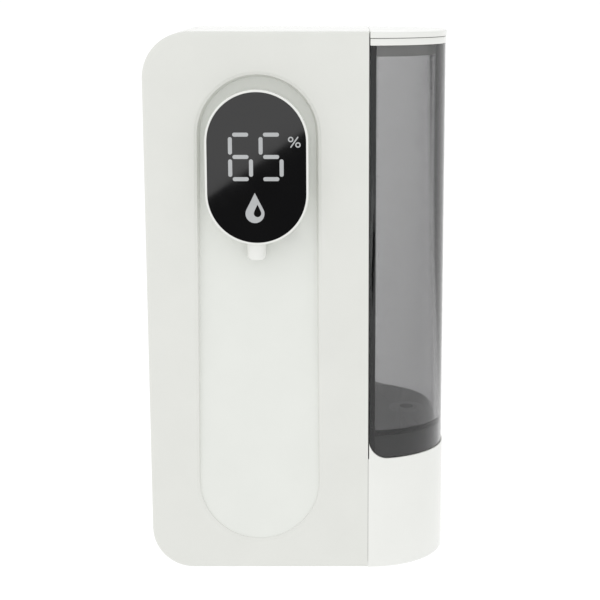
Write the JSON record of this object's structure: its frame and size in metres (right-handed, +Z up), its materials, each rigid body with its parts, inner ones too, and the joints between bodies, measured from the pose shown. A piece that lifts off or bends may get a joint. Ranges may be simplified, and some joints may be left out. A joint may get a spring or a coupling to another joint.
{
  "type": "wall mounted soap dispenser",
  "caption": "Touch-free wall dispenser for liquid soap: scooped front panel, oval display above the nozzle, smoke tank with a lift-off lid at the side.",
  "frame": {"origin": "centre of the wall bracket's screw pattern, on the wall", "axes": "+Z up, the front faces -Y, the tank is at +X"},
  "size_m": [0.1076, 0.073, 0.1956],
  "materials": {
    "white_gloss": "glossy moulded ABS",
    "panel_white": "fine matt moulded ABS",
    "black_lens": "polished black acrylic",
    "light_window": "frosted light window",
    "smoke_clear": "smoke-tinted clear polycarbonate",
    "white_rubber": "soft silicone",
    "grey_rubber": "soft silicone",
    "black_rubber": "nitrile rubber",
    "hose_silicone": "translucent silicone",
    "bracket_steel": "white powder coat on steel",
    "steel": "zinc-plated steel",
    "pump_plastic": "glass-filled nylon",
    "gear_plastic": "acetal",
    "motor_steel": "nickel-plated steel",
    "ferrite": "ferrite",
    "rotor_core": "laminated core with copper windings",
    "bush_metal": "sintered bronze",
    "cell_wrap": "shrink-wrapped cell",
    "black_plastic": "moulded ABS",
    "board_green": "solder mask",
    "socket_metal": "nickel-plated steel",
    "ir_window": "dark infrared-pass plastic",
    "wire": "wire insulation"
  },
  "bodies": {
    "wall_bracket": {"wall_bracket": "bracket_steel"},
    "lid": {"tank_lid": "white_gloss", "lid_seal": "grey_rubber"},
    "button": {"power_button": "white_gloss"},
    "socket_cover": {"port_cover": "white_rubber"},
    "rotor": {"motor_shaft": "steel", "motor_rotor": "rotor_core", "drive_gear": "gear_plastic"},
    "idler": {"idler_gear": "gear_plastic"},
    "dispenser": {"rear_cover": "white_gloss", "case_screws": "steel", "main_shell": "white_gloss", "front_panel": "panel_white", "panel_seal": "grey_rubber", "panel_screws": "steel", "pod_shell": "white_gloss", "pod_screws": "steel", "display_lens": "black_lens", "display_digits": "light_window", "display_signs": "light_window", "display_module": "black_plastic", "display_board": "board_green", "nozzle": "white_gloss", "nozzle_valve": "white_rubber", "sensor_window": "ir_window", "tank": "smoke_clear", "tank_collar": "white_gloss", "tank_pad": "black_rubber", "outlet_seal": "black_rubber", "outlet_fitting": "black_plastic", "outlet_nut": "black_plastic", "tank_filter": "black_plastic", "pump_body": "pump_plastic", "pump_gasket": "grey_rubber", "pump_cover": "pump_plastic", "pump_screws": "steel", "idler_pin": "steel", "shaft_seal": "grey_rubber", "motor_can": "motor_steel", "motor_magnets": "ferrite", "motor_bushings": "bush_metal", "motor_end_cap": "black_plastic", "inlet_hose": "hose_silicone", "delivery_hose": "hose_silicone", "battery_cell": "cell_wrap", "battery_holder": "black_plastic", "battery_contacts": "steel", "main_board": "board_green", "board_screws": "steel", "charge_board": "board_green", "charge_socket": "socket_metal", "button_dome": "white_rubber", "motor_leads": "wire"}
  },
  "joints": [
    {"name": "lift_off", "type": "slide", "parent": "wall_bracket", "child": "dispenser", "axis": [0, 0, 1], "range_m": [0, 0.0125]},
    {"name": "lid_lift", "type": "slide", "parent": "dispenser", "child": "lid", "axis": [0, 0, 1], "range_m": [0, 0.02]},
    {"name": "button_press", "type": "slide", "parent": "dispenser", "child": "button", "axis": [0, 0, 1], "range_m": [0, 0.0008], "stiffness_N_per_m": 400, "deforming": ["button_dome"]},
    {"name": "socket_cover_swing", "type": "hinge", "parent": "dispenser", "child": "socket_cover", "pos_m": [-0.0372, -0.028, -0.1094], "axis": [0, 1, 0], "range_deg": [0, 100]},
    {"name": "motor_spin", "type": "hinge", "parent": "dispenser", "child": "rotor", "pos_m": [0.007, -0.026, -0.07], "axis": [0, 0, 1], "continuous": true},
    {"name": "idler_spin", "type": "hinge", "parent": "dispenser", "child": "idler", "pos_m": [0.007, -0.038, -0.093], "axis": [0, 0, 1], "continuous": true}
  ],
  "couplings": [
    {"joint": "idler_spin", "follows": "motor_spin", "ratio": -1}
  ]
}
